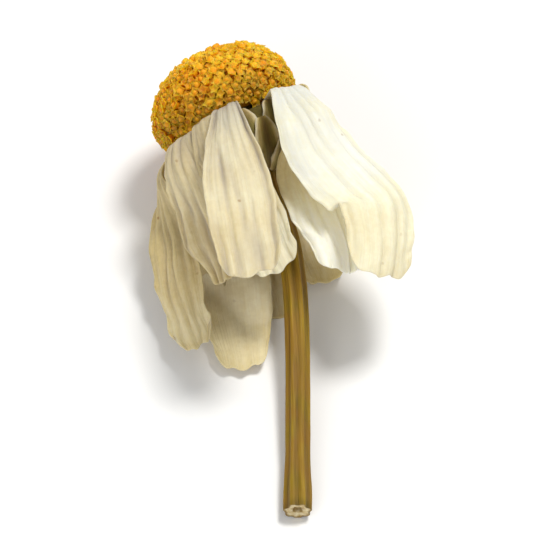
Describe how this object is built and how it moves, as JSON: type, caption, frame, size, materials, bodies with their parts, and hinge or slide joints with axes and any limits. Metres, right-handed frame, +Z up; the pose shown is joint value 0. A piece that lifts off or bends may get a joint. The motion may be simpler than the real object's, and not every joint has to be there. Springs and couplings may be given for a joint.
{
  "type": "dried chamomile flower",
  "caption": "Dried flower head lying on its side: golden floret dome, white rays folded back like a skirt, green bract cup and a short cut stalk.",
  "frame": {"origin": "centre of the flower's outline, on the surface that it lies on", "axes": "+Z up from that surface; +Y along the flower from the cut end of the stalk to the disc; +X to the right"},
  "size_m": [0.0098, 0.0182, 0.0074],
  "materials": {
    "disc": "dry granular gold",
    "bracts": "dry olive with papery straw edges",
    "rays": "papery creamy white",
    "stalk": "dry olive with fine ribs"
  },
  "bodies": {
    "root": {"disc_florets": "disc", "involucre": "bracts", "ray_petals": "rays", "stem": "stalk"}
  },
  "joints": []
}
